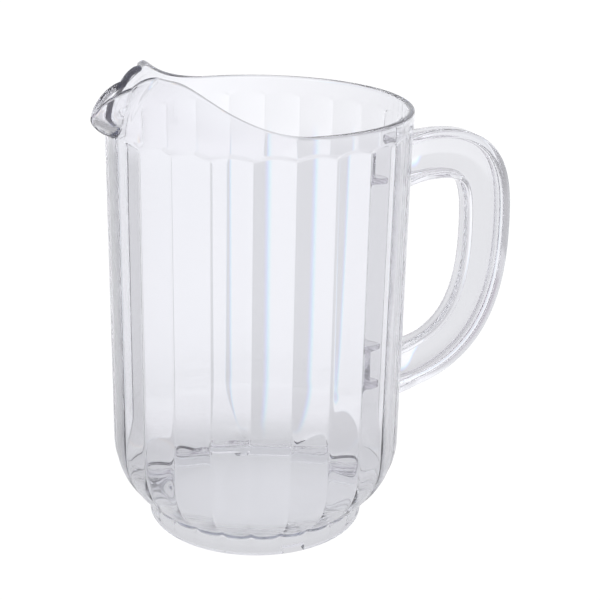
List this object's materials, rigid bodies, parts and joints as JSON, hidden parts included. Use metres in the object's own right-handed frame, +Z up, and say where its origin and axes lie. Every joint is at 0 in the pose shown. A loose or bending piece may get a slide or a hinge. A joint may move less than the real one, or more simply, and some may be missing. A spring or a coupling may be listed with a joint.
{
  "type": "water pitcher",
  "caption": "Clear fluted water pitcher with a hooded pouring rim, a beak spout, a hollow foot ring with drain notches and a one-hand side handle.",
  "frame": {"origin": "on the table, under the middle of the pitcher's length from spout tip to handle", "axes": "+X towards the handle, -X towards the spout, +Z up"},
  "size_m": [0.196, 0.1308, 0.2055],
  "materials": {
    "clear_vessel": "clear moulded plastic, polished",
    "clear_handle": "clear moulded plastic, polished"
  },
  "bodies": {
    "root": {"vessel": "clear_vessel", "handle": "clear_handle"}
  },
  "joints": []
}
